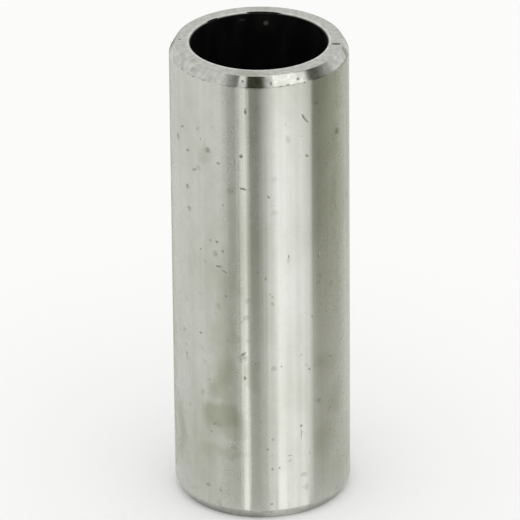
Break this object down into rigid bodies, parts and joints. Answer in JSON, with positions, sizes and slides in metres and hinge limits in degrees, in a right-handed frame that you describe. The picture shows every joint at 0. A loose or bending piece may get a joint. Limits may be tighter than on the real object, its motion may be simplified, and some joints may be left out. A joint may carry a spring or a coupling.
{
  "type": "piston pin",
  "caption": "Hollow cylindrical steel piston pin with a ground outside, chamfered ends and a straight through bore, which joins a piston to its connecting rod.",
  "frame": {"origin": "centre of the lower end face, on the pin's axis", "axes": "+Z along the pin's axis, from the lower end face to the upper one; the pin is a body of revolution, so X and Y are any two directions across it"},
  "size_m": [0.02, 0.02, 0.055],
  "materials": {
    "ground_steel": "ground round the axis and lapped, with fine pits and handling scratches; the bore keeps its black heat-treatment scale"
  },
  "bodies": {
    "root": {"piston_pin": "ground_steel"}
  },
  "joints": []
}
